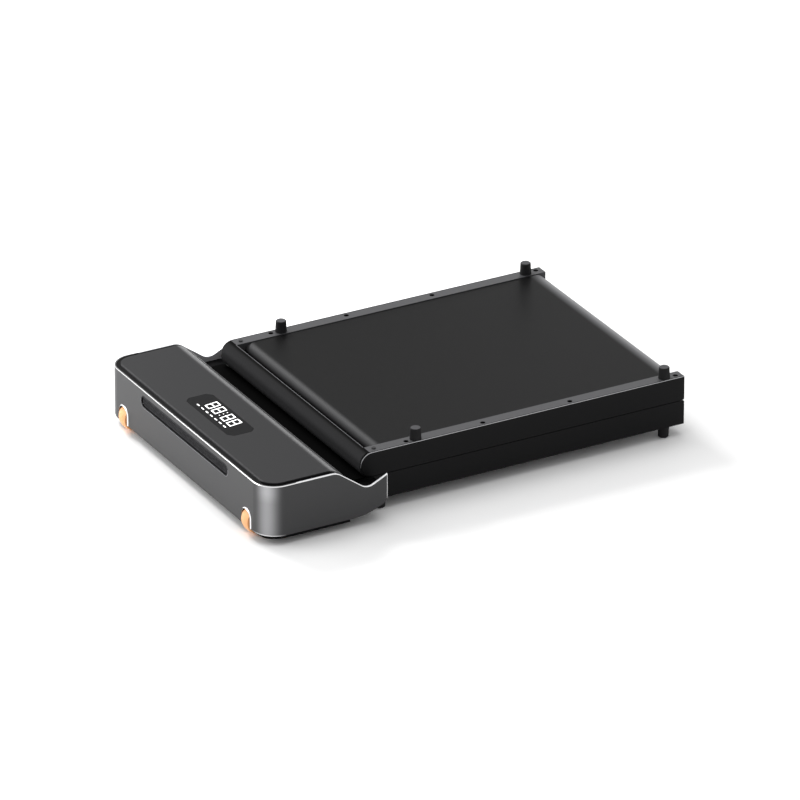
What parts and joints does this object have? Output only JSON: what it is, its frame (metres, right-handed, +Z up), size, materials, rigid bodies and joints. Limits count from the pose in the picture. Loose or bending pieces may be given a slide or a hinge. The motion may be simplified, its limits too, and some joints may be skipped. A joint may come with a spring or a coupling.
{
  "type": "folding walking pad",
  "caption": "Folding walking pad stored folded, with a metal-banded motor cowl, linked deck halves, belt rollers, transport wheels and rubber feet.",
  "frame": {"origin": "on the floor under the middle of the folded pad", "axes": "+X from the motor cowl to the fold, +Y to the walker's right, +Z up"},
  "size_m": [0.823, 0.564, 0.129],
  "materials": {
    "cowl_aluminium": "anodised dark grey, fine blasted",
    "cowl_top_plastic": "satin dark grey",
    "gloss_black": "gloss black",
    "black_plastic": "satin black",
    "display_plastic": "smoked gloss",
    "circuit_board": "green solder mask",
    "steel": "plain steel",
    "black_steel": "black powder coat",
    "pulley_aluminium": "machined",
    "brass": "plain brass",
    "rail_aluminium": "anodised grey",
    "deck_board": "dense board",
    "rubber": "matte black",
    "belt_rubber": "fine-grained black belt",
    "wheel_orange": "peach-orange tread"
  },
  "bodies": {
    "front_half": {"cowl_band": "cowl_aluminium", "cowl_top": "cowl_top_plastic", "cowl_bezel": "gloss_black", "base_tray": "black_plastic", "rear_apron": "black_plastic", "tail_fillers": "black_plastic", "slot_insert": "black_plastic", "power_inlet": "black_plastic", "switch_frame": "black_plastic", "front_side_cover_left": "black_plastic", "front_side_cover_right": "black_plastic", "display_window": "display_plastic", "display_board": "circuit_board", "controller_board": "circuit_board", "wheel_forks": "steel", "wheel_axles": "steel", "drive_bearings": "steel", "front_hinge_blocks": "steel", "front_hinge_pins": "steel", "front_cross_members": "black_steel", "motor_bracket": "black_steel", "motor_can": "black_steel", "heat_sink": "pulley_aluminium", "inlet_pins": "brass", "front_rail_left": "rail_aluminium", "front_rail_right": "rail_aluminium", "front_deck": "deck_board", "front_feet": "rubber", "front_dampers": "rubber", "drive_belt": "rubber", "belt_front": "belt_rubber"},
    "hinge_links": {"hinge_links": "steel", "belt_fold": "belt_rubber"},
    "rear_half": {"rear_rail_left": "rail_aluminium", "rear_rail_right": "rail_aluminium", "rear_side_cover_left": "black_plastic", "rear_side_cover_right": "black_plastic", "rear_deck": "deck_board", "rear_cross_members": "black_steel", "rear_dampers": "rubber", "rear_feet": "rubber", "rear_hinge_blocks": "steel", "rear_hinge_pins": "steel", "belt_rear": "belt_rubber", "rear_axle": "steel", "end_cover": "gloss_black", "tension_bolts": "steel", "rail_screws": "steel"},
    "drive_roller": {"drive_roller": "steel", "drive_axle": "steel", "drive_pulley": "pulley_aluminium"},
    "motor_rotor": {"motor_shaft": "steel", "motor_pulley": "pulley_aluminium"},
    "rear_roller": {"rear_roller": "steel", "rear_bearings": "steel"},
    "front_idler": {"front_fold_roller": "steel"},
    "rear_idler": {"rear_fold_roller": "steel"},
    "wheel_left": {"wheel_left": "wheel_orange"},
    "wheel_right": {"wheel_right": "wheel_orange"},
    "switch_rocker": {"switch_rocker": "black_plastic"}
  },
  "joints": [
    {"name": "fold_lower", "type": "hinge", "parent": "front_half", "child": "hinge_links", "pos_m": [0.4053, 0, 0.0525], "axis": [0, 1, 0], "range_deg": [0, 90], "deforming": ["belt_fold"]},
    {"name": "fold_upper", "type": "hinge", "parent": "hinge_links", "child": "rear_half", "pos_m": [0.4053, 0, 0.0765], "axis": [0, 1, 0], "range_deg": [0, 90], "deforming": ["belt_fold"]},
    {"name": "drive_spin", "type": "hinge", "parent": "front_half", "child": "drive_roller", "pos_m": [-0.2835, 0, 0.0422], "axis": [0, 1, 0], "continuous": true},
    {"name": "motor_spin", "type": "hinge", "parent": "front_half", "child": "motor_rotor", "pos_m": [-0.3455, 0, 0.056], "axis": [0, 1, 0], "continuous": true},
    {"name": "rear_spin", "type": "hinge", "parent": "rear_half", "child": "rear_roller", "pos_m": [-0.1545, 0, 0.0868], "axis": [0, 1, 0], "continuous": true},
    {"name": "front_idler_spin", "type": "hinge", "parent": "front_half", "child": "front_idler", "pos_m": [0.3898, 0, 0.0422], "axis": [0, 1, 0], "continuous": true},
    {"name": "rear_idler_spin", "type": "hinge", "parent": "rear_half", "child": "rear_idler", "pos_m": [0.3898, 0, 0.0868], "axis": [0, 1, 0], "continuous": true},
    {"name": "wheel_left_spin", "type": "hinge", "parent": "front_half", "child": "wheel_left", "pos_m": [-0.3875, -0.219, 0.025], "axis": [0, 1, 0], "continuous": true},
    {"name": "wheel_right_spin", "type": "hinge", "parent": "front_half", "child": "wheel_right", "pos_m": [-0.3875, 0.219, 0.025], "axis": [0, 1, 0], "continuous": true},
    {"name": "switch_rock", "type": "hinge", "parent": "front_half", "child": "switch_rocker", "pos_m": [-0.2615, 0.274, 0.046], "axis": [-1, 0, 0], "range_deg": [0, 16]}
  ],
  "couplings": [
    {"joint": "fold_upper", "follows": "fold_lower", "ratio": 1},
    {"joint": "motor_spin", "follows": "drive_spin", "ratio": 2},
    {"joint": "rear_spin", "follows": "drive_spin", "ratio": 1},
    {"joint": "front_idler_spin", "follows": "drive_spin", "ratio": 1},
    {"joint": "rear_idler_spin", "follows": "drive_spin", "ratio": 1}
  ]
}
